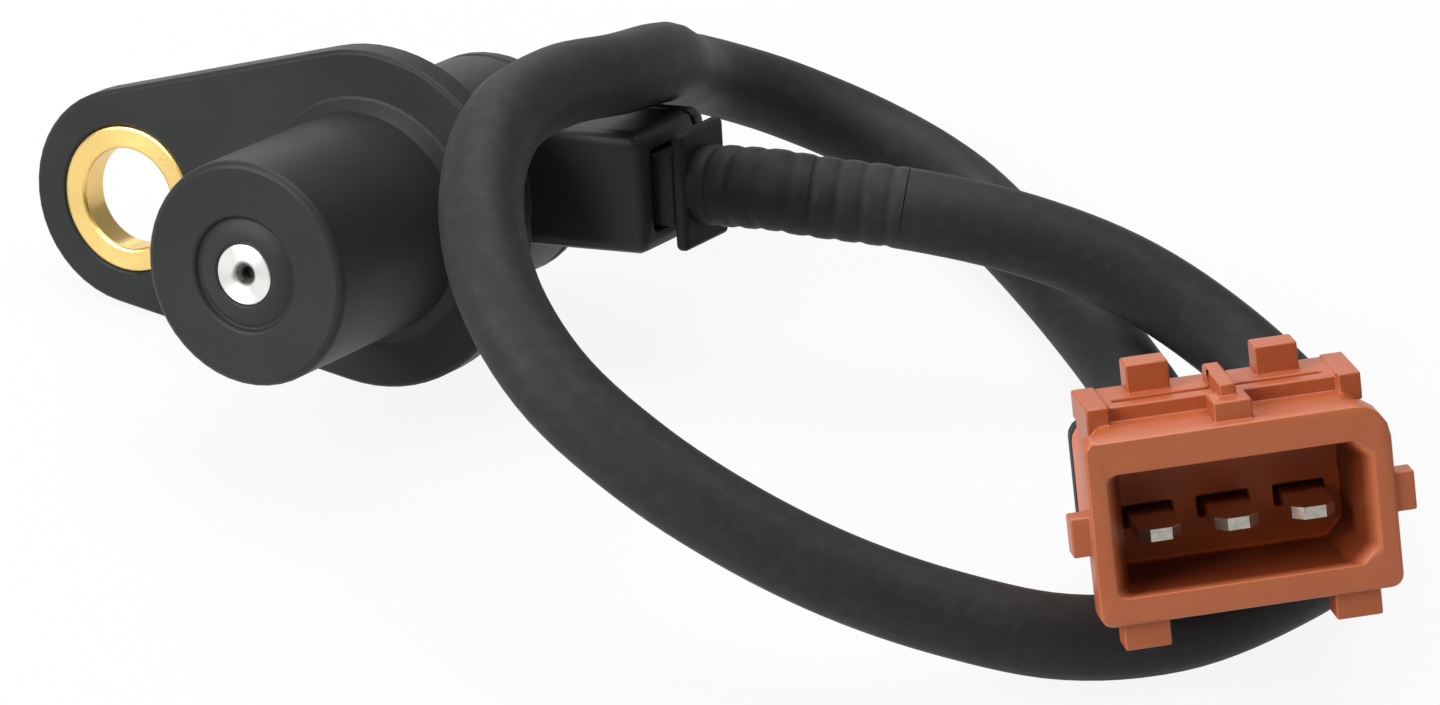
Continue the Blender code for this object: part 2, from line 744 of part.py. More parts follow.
def walk(fine, start, end, step):
    """Points on a fine curve between two lengths along it, about one step apart."""
    lengths = [0.0]
    for a, b in zip(fine, fine[1:]):
        lengths.append(lengths[-1] + (b - a).length)
    end = lengths[-1] + end if end <= 0 else end
    count = max(1, round((end - start) / step))
    found, i = [], 0
    for k in range(count + 1):
        goal = start + (end - start) * k / count
        while i < len(lengths) - 2 and lengths[i + 1] < goal:
            i += 1
        share = (goal - lengths[i]) / (lengths[i + 1] - lengths[i])
        found.append(fine[i].lerp(fine[i + 1], share))
    return found


def cable_route(head, connector):
    """The cable's axis from the gland's face to the boot's end."""
    bpy.context.view_layer.update()
    out_of_gland = head.matrix_world
    start = out_of_gland @ Vector((gland_end() + GAP, gland_depth(), OUTLET_RISE))
    straight = out_of_gland @ Vector((gland_end() + 2 * CABLE_RADIUS, gland_depth(), OUTLET_RISE))
    end = connector.matrix_world @ Vector((0, boot_end() + 2 * GAP, -TAB_DROP))
    before_end = connector.matrix_world @ Vector((0, boot_end() + 2 * CABLE_RADIUS, -TAB_DROP))
    return smooth_route([start, straight, *(Vector(p) for p in ROUTE), before_end, end])


def add_cable(head, connector):
    """The ribbed strain relief on the cable's first stretch, and the cable itself."""
    fine = cable_route(head, connector)
    rib_points = walk(fine, 0, RELIEF_LENGTH, RELIEF_LENGTH / (4 * RELIEF_RIBS))
    radii = [CABLE_RADIUS - (RELIEF_RIB_DEPTH if i % 4 >= 2 else 0) for i in range(len(rib_points))]
    relief = tube("strain_relief", rib_points, CABLE_RADIUS, resolution=3, radii=radii)
    paint(relief, "black_rubber", BLACK_RUBBER)
    cable = tube("cable", walk(fine, RELIEF_LENGTH + 2 * GAP, 0, CABLE_STEP), CABLE_RADIUS, resolution=3)
    paint(cable, "black_rubber", BLACK_RUBBER)


def shroud_back():
    return SHROUD_DEPTH + REAR_WALL


def mouth_room():
    """The mouth's half width, and its lower and upper side."""
    half_width = SHROUD_WIDTH / 2 - SIDE_WALL
    return half_width, BOTTOM_WALL - SHROUD_HEIGHT / 2, SHROUD_HEIGHT / 2 - TOP_WALL


def chamber_back():
    return shroud_back() + CHAMBER_LENGTH


def boot_end():
    return chamber_back() + GAP + BOOT_LENGTH


def keyed_outline(width, corner, key_corner):
    """The shroud's outline, with a larger corner at the top right."""
    sides = (-width / 2, width / 2, -SHROUD_HEIGHT / 2, SHROUD_HEIGHT / 2)
    return rounded_rectangle(*sides, (key_corner, corner, corner, corner))


def add_connector_housing(carrier):
    """The connector's housing: a keyed shroud with a wider collar, a rim with posts, and a wire chamber."""
    shroud = keyed_outline(SHROUD_WIDTH, SHROUD_CORNER, SHROUD_KEY_CORNER)
    collar = keyed_outline(COLLAR_WIDTH, COLLAR_CORNER, COLLAR_KEY_CORNER)
    housing = plate("connector_housing", collar, 0, COLLAR_DEPTH, carrier)
    bevel(housing, DETAIL_EDGE, 1, 60)
    chamber_front = shroud_back() - REAR_WALL / 2
    join(
        housing,
        plate("shroud", shroud, COLLAR_DEPTH / 2, shroud_back(), carrier),
        plate("wire_chamber", chamber_outline(), chamber_front, chamber_back(), carrier),
        *connector_details(carrier),
    )
    cut(housing, *connector_cutters(carrier))
    return paint(housing, "orange_plastic", ORANGE_PLASTIC)


def connector_details(carrier):
    """The rim, its end blocks and posts, the latch, the side lugs and the feet."""
    half_width, top = SHROUD_WIDTH / 2, SHROUD_HEIGHT / 2
    sunk = SIDE_WALL / 2
    back = shroud_back()
    rim_top = top + RIM_HEIGHT
    latch_end = LATCH_START + LATCH_LENGTH

    def detail(name, across, along, heights):
        low, high = zip(sorted(across), along, heights)
        return block(name, low, high, carrier, DETAIL_EDGE)

    def centred(name, middle, width, along, heights):
        return detail(name, (middle - width / 2, middle + width / 2), along, heights)

    rib_along = (latch_end - LATCH_LENGTH / 2, LATCH_RIB_END)
    rib_heights = (top - 0.9 * sunk, top + LATCH_RIB_HEIGHT)
    details = [
        centred("rim", 0, SHROUD_WIDTH - 2 * sunk, (RIM_START, back - DETAIL_EDGE), (top - sunk, rim_top)),
        centred("latch", 0, LATCH_WIDTH, (LATCH_START, latch_end), (top - sunk, top + LATCH_HEIGHT)),
        centred("latch_rib", 0, LATCH_RIB_WIDTH, rib_along, rib_heights),
    ]
    end_heights = (top - 1.2 * sunk, rim_top + RIM_END_RISE)
    end_along = (RIM_END_START, back - 2 * DETAIL_EDGE)
    post_along = (back - 3 * DETAIL_EDGE - POST_DEPTH, back - 3 * DETAIL_EDGE)
    post_heights = (top, rim_top + POST_HEIGHT)
    lug_along = (LUG_START, LUG_START + LUG_DEPTH)
    foot_along = (FOOT_START, FOOT_START + FOOT_DEPTH)
    foot_heights = (-top - FOOT_HEIGHT, -top + sunk)
    for side, label in ((-1, "left"), (1, "right")):
        end_across = (side * (half_width - RIM_END_WIDTH), side * (half_width + RIM_END_OVERHANG))
        lug_across = (side * (COLLAR_WIDTH / 2 - sunk), side * (COLLAR_WIDTH / 2 + LUG_WIDTH))
        details += [
            detail(f"rim_end_{label}", end_across, end_along, end_heights),
            centred(f"post_{label}", side * POST_SPACING / 2, POST_WIDTH, post_along, post_heights),
            detail(f"lug_{label}", lug_across, lug_along, (-LUG_HEIGHT / 2, LUG_HEIGHT / 2)),
            centred(f"foot_{label}", side * FOOT_SPACING / 2, FOOT_WIDTH, foot_along, foot_heights),
        ]
    return details


def mouth_outline(widening=0.0):
    """The mouth's outline, with bevelled right corners, widened to both sides."""
    half_width, low, high = mouth_room()
    left, right = -half_width - widening, half_width + widening
    key = MOUTH_KEY_CHAMFER
    corner = MOUTH_CORNER
    left_corners = arc((left + corner, high - corner), corner, 90, 180, 2)
    left_corners += arc((left + corner, low + corner), corner, 180, 270, 2)
    return [(right - key, low), (right, low + key), (right, high - key), (right - key, high), *left_corners]


def tapered_plate(name, outline, far_outline, front, back, carrier):
    """A closed piece that runs from one outline of (x, z) points to another with as many."""
    count = len(outline)
    points = [(x, front, z) for x, z in outline] + [(x, back, z) for x, z in far_outline]
    faces = [tuple(range(count)), tuple(reversed(range(count, 2 * count)))]
    faces += [(i, i + count, (i + 1) % count + count, (i + 1) % count) for i in range(count)]
    mesh = bpy.data.meshes.new(name)
    mesh.from_pydata(points, [], faces)
    shape = bmesh.new()
    shape.from_mesh(mesh)
    bmesh.ops.recalc_face_normals(shape, faces=shape.faces)
    shape.to_mesh(mesh)
    shape.free()
    return add_object(name, mesh, carrier)


def connector_cutters(carrier):
    """The mouth with its lead-in, the tabs' slots, the wire chamber's room, and the outer reliefs."""
    half = CHAMBER_WIDTH / 2 - CHAMBER_WALL
    high = CHAMBER_HEIGHT / 2 - CHAMBER_WALL
    room_low = (-half, shroud_back(), -TAB_DROP - high)
    bottom = -SHROUD_HEIGHT / 2
    relief_low = (-COLLAR_WIDTH, RELIEF_START, 2 * bottom)
    relief_high = (COLLAR_WIDTH, 2 * chamber_back(), bottom + RELIEF_HEIGHT)
    rim_top = SHROUD_HEIGHT / 2 + RIM_HEIGHT
    reach = SHROUD_WIDTH / 2 - RIM_END_WIDTH - RIM_GROOVE_WIDTH
    groove_low = (-reach, RIM_GROOVE_START, rim_top - RIM_GROOVE_DEPTH)
    groove_high = (reach, RIM_GROOVE_START + RIM_GROOVE_WIDTH, rim_top + RIM_HEIGHT)
    mouth, wide = mouth_outline(), mouth_outline(2 * MOUTH_LEAD_IN)
    return [
        plate("mouth", mouth, -SHROUD_DEPTH, SHROUD_DEPTH, carrier),
        tapered_plate("lead_in", wide, mouth, -MOUTH_LEAD_DEPTH, MOUTH_LEAD_DEPTH, carrier),
        block("chamber_room", room_low, (half, 2 * chamber_back(), high - TAB_DROP), carrier),
        block("bottom_relief", relief_low, relief_high, carrier),
        block("rim_groove", groove_low, groove_high, carrier),
        *tab_slots("tab_slot", carrier),
    ]


def tab_slots(name, carrier):
    """One slot for each tab, through whatever stands in its way."""
    slots = []
    for i, x in enumerate(tab_places()):
        low = (x - TAB_WIDTH / 2 - GAP, 0, -TAB_DROP - TAB_THICKNESS / 2 - GAP)
        high = (x + TAB_WIDTH / 2 + GAP, chamber_back(), -TAB_DROP + TAB_THICKNESS / 2 + GAP)
        slots.append(block(f"{name}_{i + 1}", low, high, carrier))
    return slots


def chamber_outline():
    """The wire chamber's outline, centred on the tabs' height."""
    half_width, half_height = CHAMBER_WIDTH / 2, CHAMBER_HEIGHT / 2
    return rounded_rectangle(
        -half_width,
        half_width,
        -TAB_DROP - half_height,
        half_height - TAB_DROP,
        (CHAMBER_CORNER,) * 4,
    )


def tab_places():
    return [(i - 1) * TAB_PITCH for i in range(3)]


def lock_front():
    return shroud_back() + GAP


def tab_back():
    return lock_front() + LOCK_THICKNESS + GAP


def add_contacts(carrier):
    """Three flat tabs, each with a pointed tip and a narrower crimp behind the lock."""
    half = TAB_WIDTH / 2
    for i, x in enumerate(tab_places()):
        outline = [
            (x - half + TAB_LEAD, TAB_TIP),
            (x + half - TAB_LEAD, TAB_TIP),
            (x + half, TAB_TIP + TAB_LEAD),
            (x + half, tab_back()),
            (x + CRIMP_WIDTH / 2, tab_back()),
            (x + CRIMP_WIDTH / 2, tab_back() + CRIMP_LENGTH),
            (x - CRIMP_WIDTH / 2, tab_back() + CRIMP_LENGTH),
            (x - CRIMP_WIDTH / 2, tab_back()),
            (x - half, tab_back()),
            (x - half, TAB_TIP + TAB_LEAD),
        ]
        tab = flat_plate(f"contact_tab_{i + 1}", outline, -TAB_DROP, TAB_THICKNESS, carrier)
        paint(tab, "tinned", TINNED)


def flat_plate(name, outline, height, thickness, carrier):
    """A flat piece from a closed outline of (x, y) points, centred on a height."""
    curve = bpy.data.curves.new(name, "CURVE")
    curve.dimensions = "2D"
    curve.fill_mode = "BOTH"
    curve.extrude = thickness / 2
    spline = curve.splines.new("POLY")
    spline.points.add(len(outline) - 1)
    for point, (x, y) in zip(spline.points, outline):
        point.co = (x, y, 0, 1)
    spline.use_cyclic_u = True
    return solid_from_curve(add_object(name, curve, carrier, (0, 0, height)))


def add_terminal_lock(carrier):
    """The plate behind the rear wall that keeps the contacts in."""
    half = CHAMBER_WIDTH / 2 - CHAMBER_WALL - GAP
    high = CHAMBER_HEIGHT / 2 - CHAMBER_WALL - GAP
    front = lock_front()
    low_corner = (-half, front, -TAB_DROP - high)
    lock = block("terminal_lock", low_corner, (half, front + LOCK_THICKNESS, high - TAB_DROP), carrier)
    cut(lock, *tab_slots("lock_slot", carrier))
    return paint(lock, "white_plastic", WHITE_PLASTIC)


def add_connector_cores(carrier):
    """The cable's cores in the wire chamber, fanned out from the cable to the contacts."""
    start_y = tab_back() + CRIMP_LENGTH + GAP
    end_y = boot_end() - BOOT_LENGTH / 2
    for i, x in enumerate(tab_places()):
        near = x * CORE_PITCH / TAB_PITCH
        route = [
            (x, start_y, -TAB_DROP),
            (x * 0.92, start_y + CORE_RADIUS, -TAB_DROP),
            (near * 1.1, chamber_back(), -TAB_DROP),
            (near, chamber_back() + CORE_RADIUS * 2, -TAB_DROP),
            (near, end_y, -TAB_DROP),
        ]
        core = tube(f"connector_core_{i + 1}", route, CORE_RADIUS, carrier)
        paint(core, f"core_{i + 1}", CORE_COLOURS[i])


def add_boot(carrier):
    """The rubber boot that closes the wire chamber and grips the cable."""
    front = chamber_back() + GAP
    boot = plate("cable_boot", chamber_outline(), front, front + BOOT_COLLAR, carrier)
    wide = CHAMBER_HEIGHT / 2
    profile = [
        (0, BOOT_LENGTH),
        (BOOT_END_RADIUS - 0.4 * MM, BOOT_LENGTH),
        (BOOT_END_RADIUS, BOOT_LENGTH - 0.4 * MM),
        (wide - 0.3 * MM, BOOT_COLLAR),
        (wide - 0.3 * MM, BOOT_COLLAR / 2),
        (0, BOOT_COLLAR / 2),
    ]
    stem = turned("boot_stem", profile, carrier, (0, front, -TAB_DROP))
    room = 2 * (CORE_RADIUS + GAP)
    reach = CORE_PITCH + room / 2
    passage = block(
        "boot_passage",
        (-reach, 0, -TAB_DROP - room / 2),
        (reach, boot_end() - BOOT_LENGTH / 2 + GAP, -TAB_DROP + room / 2),
        carrier,
    )
    join(boot, stem)
    cut(boot, passage)
    return paint(boot, "black_rubber", BLACK_RUBBER)


def shade(obj):
    if obj.type == "MESH":
        obj.data.shade_smooth()
        obj.data.set_sharp_from_angle(angle=math.radians(30))


def main():
    head = add_head_carrier()
    add_housing(head)
    add_rear_cover(head)
    add_bush(head)
    add_pole_pin(head)
    add_bobbin(head)
    add_winding(head)
    carrier_front = add_magnet_and_yoke(head) + GAP
    add_terminal_carrier(head, carrier_front)
    add_terminals(head)
    add_lead_cores(head)
    add_gland(head)
    turn = (CONNECTOR_PITCH, CONNECTOR_ROLL, CONNECTOR_YAW)
    connector = add_carrier("connector_frame", CONNECTOR_AT, turn)
    add_connector_housing(connector)
    add_contacts(connector)
    add_terminal_lock(connector)
    add_connector_cores(connector)
    add_boot(connector)
    add_cable(head, connector)
    for obj in parts.objects:
        shade(obj)


clear_scene()
parts = collection("crankshaft_position_sensor")
cutters = collection("cutters")
main()
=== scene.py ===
"""Crankshaft position sensor, dressed for a studio picture: satin black mouldings, brass bush,
bright pole, rubber lead and an orange tab connector, on a plain pale floor.

Laid out as an add-on: each group of pieces is one operator, and the sidebar's panel lists them.
"""
import json
import math

import bpy
from mathutils import Euler, Matrix, Vector
from mathutils.geometry import interpolate_bezier

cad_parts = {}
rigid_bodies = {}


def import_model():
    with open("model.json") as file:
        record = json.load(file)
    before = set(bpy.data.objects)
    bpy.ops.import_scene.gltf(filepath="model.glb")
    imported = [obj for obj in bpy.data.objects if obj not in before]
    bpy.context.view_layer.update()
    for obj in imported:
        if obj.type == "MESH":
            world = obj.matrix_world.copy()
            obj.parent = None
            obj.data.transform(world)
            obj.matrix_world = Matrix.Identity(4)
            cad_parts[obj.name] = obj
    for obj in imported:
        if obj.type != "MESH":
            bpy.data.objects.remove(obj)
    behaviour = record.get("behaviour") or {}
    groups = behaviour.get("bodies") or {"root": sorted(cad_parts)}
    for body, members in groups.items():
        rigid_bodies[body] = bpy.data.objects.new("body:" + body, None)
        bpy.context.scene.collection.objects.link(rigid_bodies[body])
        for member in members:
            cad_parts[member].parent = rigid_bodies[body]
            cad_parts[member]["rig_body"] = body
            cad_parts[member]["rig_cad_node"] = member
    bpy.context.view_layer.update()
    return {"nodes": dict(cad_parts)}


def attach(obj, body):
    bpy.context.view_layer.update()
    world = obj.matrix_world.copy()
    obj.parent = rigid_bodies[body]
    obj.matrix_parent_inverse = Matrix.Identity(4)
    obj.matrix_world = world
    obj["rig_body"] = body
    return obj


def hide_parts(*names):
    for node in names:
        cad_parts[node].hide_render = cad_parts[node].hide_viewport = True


bl_info = {
    "name": "Crankshaft Position Sensor",
    "version": (1, 0, 0),
    "blender": (4, 5, 0),
    "location": "3D View > Sidebar > Sensor",
    "description": "Dresses a crankshaft position sensor and its lead for a studio picture",
    "category": "Object",
}

MM = 0.001
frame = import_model()
NODES = frame["nodes"]

# The sensor's own frame starts at its flange's front centre. It lies on flange, ear and rear rim.
FLANGE_RADIUS = 11.85 * MM
FLANGE_THICKNESS = 2.4 * MM
FLANGE_EDGE = 0.3 * MM
EAR_RADIUS = 7.7 * MM
EAR_DISTANCE = 19.7 * MM
BODY_RADIUS = 8.0 * MM
BODY_END = 17.5 * MM
BODY_FILLET = 0.8 * MM
HEAD_AT = (3.64 * MM, -1.0 * MM)

# Where the cable leaves, in the sensor's frame.
GLAND_END = 19.5 * MM
GLAND_DEPTH = 12.65 * MM
OUTLET_RISE = 0.9 * MM

# The connector's own frame: its mouth's middle, and its turn.
CONNECTOR_AT = (72.9 * MM, -5.7 * MM, 15.2 * MM)
CONNECTOR_TURN = (math.radians(-20.1), math.radians(-3.8), math.radians(38.4))
BOOT_END = 26.3 * MM
TAB_DROP = 1.2 * MM
MOUTH_HALF_WIDTH = 8.62 * MM
MOUTH_HALF_HEIGHT = 4.4 * MM

# Clearance where pieces meet, and how much a pressed piece is enlarged to hide most of it.
GAP = 0.3 * MM
PRESS_GAP = 0.12 * MM
PRESS_OVERSIZE = 0.8 * PRESS_GAP

# The pole in the probe's tip, and the bush in the ear.
PROBE_LENGTH = 15.2 * MM
POLE_RADIUS = 2.0 * MM
POLE_BACK = -1.0 * MM
CENTRE_HOLE_RADIUS = 0.95 * MM
CENTRE_HOLE_DEPTH = 0.5 * MM
PILOT_RADIUS = 0.45 * MM
PILOT_DEPTH = 1.3 * MM
BUSH_RADIUS = 5.15 * MM
BUSH_BORE_RADIUS = 3.5 * MM
BUSH_ROUNDING = 0.24 * MM
BUSH_SIDES = 96
POLE_ROUNDING = 0.1 * MM
POLE_SIDES = 64

# How the copies of the solids are cleaned and their edges rounded.
WELD_DISTANCE = 0.002 * MM
FLAT_ANGLE = math.radians(1)
ROUNDED_FROM = 38
ROUNDED_FROM_CONNECTOR = 50
SMOOTHED_BELOW = 60
CONNECTOR_ROUNDING = 0.14 * MM

# How finely the lead is drawn.
STEPS_PER_SPAN = 24
LEAD_STEP = 1.2 * MM
STEPS_PER_RIB = 12
GROOVE_SHARPNESS = 3
TUBE_RESOLUTION = 7

# The cable's route after the outlet, as the part's source has it.
ROUTE = [
    (30.1 * MM, 13.7 * MM, 14.5 * MM),
    (37.1 * MM, 16.5 * MM, 14.0 * MM),
    (43.7 * MM, 19.8 * MM, 12.3 * MM),
    (50.3 * MM, 22.4 * MM, 9.7 * MM),
    (57.1 * MM, 23.1 * MM, 6.6 * MM),
    (63.9 * MM, 21.3 * MM, 4.1 * MM),
    (69.8 * MM, 16.9 * MM, 3.0 * MM),
    (72.4 * MM, 10.2 * MM, 2.9 * MM),
    (71.0 * MM, 3.0 * MM, 3.1 * MM),
    (67.3 * MM, -3.6 * MM, 2.9 * MM),
    (62.1 * MM, -8.9 * MM, 3.7 * MM),
    (56.1 * MM, -13.1 * MM, 5.9 * MM),
    (49.7 * MM, -16.4 * MM, 8.6 * MM),
    (43.1 * MM, -18.6 * MM, 11.7 * MM),
    (36.3 * MM, -19.5 * MM, 14.9 * MM),
    (29.5 * MM, -18.8 * MM, 18.2 * MM),
    (23.5 * MM, -15.6 * MM, 21.4 * MM),
    (18.9 * MM, -10.1 * MM, 23.9 * MM),
    (16.2 * MM, -3.2 * MM, 24.9 * MM),
    (15.8 * MM, 4.2 * MM, 23.7 * MM),
    (16.3 * MM, 11.4 * MM, 21.1 * MM),
    (15.6 * MM, 18.4 * MM, 18.1 * MM),
    (13.4 * MM, 24.3 * MM, 13.6 * MM),
    (12.4 * MM, 30.3 * MM, 9.6 * MM),
    (15.4 * MM, 35.4 * MM, 6.0 * MM),
    (21.5 * MM, 37.7 * MM, 3.5 * MM),
    (28.5 * MM, 36.2 * MM, 2.9 * MM),
    (35.0 * MM, 32.5 * MM, 2.9 * MM),
    (41.2 * MM, 28.3 * MM, 2.9 * MM),
    (47.2 * MM, 23.8 * MM, 2.9 * MM),
    (52.9 * MM, 19.0 * MM, 3.1 * MM),
]

# Turns a piece that was made along Z so that its top faces the front.
TO_THE_FRONT = Matrix.Rotation(math.radians(90), 4, "X")

# The camera looks at one point from a long way off, as the photographer did.
VIEW_TARGET = (26.94 * MM, 6.92 * MM, 4.52 * MM)
VIEW_DISTANCE = 463.5 * MM
VIEW_AZIMUTH = math.radians(30.6)
VIEW_ELEVATION = math.radians(34.0)

# The stage: the floor's side, how white it is to the camera and in reflections, and the world.
FLOOR_SIDE = 6.0
FLOOR_SEEN = 0.9
FLOOR_REFLECTED = 0.85
WORLD_SEEN = 0.82
WORLD_REFLECTED = 0.12
WORLD_AMBIENT = 0.18

# Each lamp's name, place from the view's middle, width, height and power.
LAMPS = (
    ("overhead_softbox", (-0.05, 0.12, 0.62), 0.55, 0.45, 3.6),
    ("rear_softbox", (-0.38, 0.42, 0.34), 0.30, 0.5, 1.2),
    ("left_key", (-0.30, -0.46, 0.36), 0.35, 0.35, 4.2),
)


class SensorSizes(bpy.types.PropertyGroup):
    """Sizes of what the scene adds to the solids."""

    cable_diameter: bpy.props.FloatProperty(
        name="Cable diameter",
        description="Outside diameter of the lead",
        default=5.6 * MM,
        min=1 * MM,
        unit="LENGTH",
    )
    sleeve_length: bpy.props.FloatProperty(
        name="Sleeve length",
        description="Length of the ribbed sleeve where the lead leaves the sensor",
        default=14.0 * MM,
        min=2 * MM,
        unit="LENGTH",
    )
    sleeve_ribs: bpy.props.IntProperty(
        name="Sleeve ribs",
        description="How many ribs the sleeve has",
        default=8,
        min=2,
    )
    sleeve_rib_depth: bpy.props.FloatProperty(
        name="Rib depth",
        description="How deep the grooves between the ribs are",
        default=0.10 * MM,
        min=0.0,
        unit="LENGTH",
    )
    edge_round: bpy.props.FloatProperty(
        name="Edge rounding",
        description="Radius on the moulded edges",
        default=0.18 * MM,
        min=0.0,
        unit="LENGTH",
    )
    lens: bpy.props.FloatProperty(
        name="Lens",
        description="Focal length of the camera",
        default=170.1,
        min=10.0,
        subtype="DISTANCE_CAMERA",
    )


class SensorColours(bpy.types.PropertyGroup):
    """Colours of the finishes."""

    plastic: bpy.props.FloatVectorProperty(
        name="Sensor plastic",
        description="Colour of the sensor's moulding",
        subtype="COLOR",
        default=(0.017, 0.0185, 0.0185),
        min=0.0,
        max=1.0,
    )
    rubber: bpy.props.FloatVectorProperty(
        name="Lead rubber",
        description="Colour of the lead's jacket",
        subtype="COLOR",
        default=(0.019, 0.020, 0.020),
        min=0.0,
        max=1.0,
    )
    connector: bpy.props.FloatVectorProperty(
        name="Connector plastic",
        description="Colour of the tab connector",
        subtype="COLOR",
        default=(0.42, 0.095, 0.028),
        min=0.0,
        max=1.0,
    )
    brass: bpy.props.FloatVectorProperty(
        name="Brass",
        description="Colour of the bush",
        subtype="COLOR",
        default=(0.95, 0.68, 0.24),
        min=0.0,
        max=1.0,
    )
    floor: bpy.props.FloatVectorProperty(
        name="Floor",
        description="Colour of the floor and the backdrop",
        subtype="COLOR",
        default=(0.6, 0.6, 0.6),
        min=0.0,
        max=1.0,
    )


class Wire:
    """A node's output, with arithmetic that adds Math nodes."""

    def __init__(self, tree, socket):
        self.tree = tree
        self.socket = socket

    def math(self, operation, *values):
        node = self.tree.nodes.new("ShaderNodeMath")
        node.operation = operation
        for slot, value in zip(node.inputs, values):
            plug(self.tree, value, slot)
        return Wire(self.tree, node.outputs[0])

    def __add__(self, other):
        return self.math("ADD", self, other)

    __radd__ = __add__

    def __sub__(self, other):
        return self.math("SUBTRACT", self, other)

    def __rsub__(self, other):
        return self.math("SUBTRACT", other, self)

    def __mul__(self, other):
        return self.math("MULTIPLY", self, other)

    __rmul__ = __mul__

    def __truediv__(self, other):
        return self.math("DIVIDE", self, other)

    def __pow__(self, other):
        return self.math("POWER", self, other)


def plug(tree, value, socket):
    """Link a wire to a socket, or set the socket's own value."""
    if isinstance(value, Wire):
        tree.links.new(value.socket, socket)
    elif isinstance(socket.default_value, float) or not hasattr(value, "__len__"):
        socket.default_value = value
    else:
        filled = list(value) + [1.0] * (len(socket.default_value) - len(value))
        socket.default_value = filled


class Finish:
    """A material in the making: its shader's fixed values, and the patterns that feed it."""

    def __init__(self, name, colour, roughness, metallic=0.0, **fixed):
        self.material = bpy.data.materials.new(name)
        self.material.use_nodes = True
        self.material.diffuse_color = (*colour[:3], 1.0)
        self.tree = self.material.node_tree
        self.shader = self.tree.nodes["Principled BSDF"]
        self.feed("Base Color", colour)
        self.feed("Roughness", roughness)
        self.feed("Metallic", metallic)
        for socket, value in fixed.items():
            self.feed(socket.replace("_", " "), value)

    def feed(self, socket, value):
        plug(self.tree, value, self.shader.inputs[socket])

    def node(self, kind, settings=None, inputs=None, output=0):
        """Add a node with its settings and its sockets' values or links."""
        made = self.tree.nodes.new(kind)
        for name, value in (settings or {}).items():
            if name == "stops":
                self.set_stops(made, value)
            else:
                setattr(made, name, value)
        for name, value in (inputs or {}).items():
            plug(self.tree, value, made.inputs[name])
        return Wire(self.tree, made.outputs[output])

    @staticmethod
    def set_stops(ramp, stops):
        elements = ramp.color_ramp.elements
        while len(elements) < len(stops):
            elements.new(1.0)
        for element, (place, colour) in zip(elements, stops):
            element.position = place
            element.color = (*colour, 1.0) if len(colour) == 3 else colour

    def place(self):
        return self.node("ShaderNodeTexCoord", output="Object")

    def noise(self, scale, detail=2.0, rough=0.5):
        inputs = {"Vector": self.place(), "Scale": scale, "Detail": detail, "Roughness": rough}
        return self.node("ShaderNodeTexNoise", None, inputs, "Fac")

    def ramp(self, factor, *stops):
        grey = [(place, (value, value, value)) for place, value in stops]
        return self.node("ShaderNodeValToRGB", {"stops": grey}, {"Fac": factor})

    def mix(self, factor, first, second):
        made = self.tree.nodes.new("ShaderNodeMix")
        made.data_type = "RGBA"
        plug(self.tree, factor, made.inputs[0])
        plug(self.tree, first, made.inputs[6])
        plug(self.tree, second, made.inputs[7])
        return Wire(self.tree, made.outputs[2])

    def bump(self, height, distance, strength=1.0, under=None):
        inputs = {"Height": height, "Distance": distance, "Strength": strength}
        if under:
            inputs["Normal"] = under
        return self.node("ShaderNodeBump", None, inputs)

    def framed(self, place):
        """Coordinates in a piece's own frame, worked out from the shared ones."""
        turn = place.to_euler("XYZ")
        inputs = {"Vector": self.place(), "Location": place.translation, "Rotation": turn}
        return self.node("ShaderNodeMapping", {"vector_type": "TEXTURE"}, inputs)

    def part(self, vector, axis):
        """One of a vector's three numbers."""
        return self.node("ShaderNodeSeparateXYZ", None, {"Vector": vector}, axis)

    def radius(self, vector):
        """Distance from the frame's Y axis."""
        across, up = self.part(vector, "X"), self.part(vector, "Z")
        return (across * across + up * up) ** 0.5


def lying_turn():
    """The sensor's pitch and roll when its flange, ear and rear end all touch the floor."""
    drop = (FLANGE_RADIUS - FLANGE_EDGE) - (BODY_RADIUS - BODY_FILLET)
    run = (BODY_END - BODY_FILLET) - (FLANGE_THICKNESS - FLANGE_EDGE)
    reach = math.hypot(drop, run)
    pitch = math.acos((BODY_FILLET - FLANGE_EDGE) / reach) - math.atan2(run, drop)
    roll = math.asin((FLANGE_RADIUS - EAR_RADIUS) / EAR_DISTANCE)
    return pitch, roll


def head_frame():
    pitch, roll = lying_turn()
    radius, depth = FLANGE_RADIUS - FLANGE_EDGE, FLANGE_THICKNESS - FLANGE_EDGE
    height = radius * math.cos(pitch) + depth * math.sin(pitch) + FLANGE_EDGE
    return Matrix.LocRotScale(Vector((*HEAD_AT, height)), Euler((-pitch, -roll, 0), "YXZ"), None)


def connector_frame():
    return Matrix.LocRotScale(Vector(CONNECTOR_AT), Euler(CONNECTOR_TURN, "YXZ"), None)


def deselect():
    if bpy.context.mode != "OBJECT":
        bpy.ops.object.mode_set(mode="OBJECT")
    bpy.ops.object.select_all(action="DESELECT")


def activate(obj):
    deselect()
    obj.select_set(True)
    bpy.context.view_layer.objects.active = obj


def smooth(obj, degrees):
    """Shade a piece smooth, with sharp edges where its faces meet at more than an angle."""
    activate(obj)
    bpy.ops.object.shade_smooth_by_angle(angle=math.radians(degrees))


def wear(obj, finish):
    """Give a piece one finish."""
    obj.data.materials.clear()
    obj.data.materials.append(finish.material)


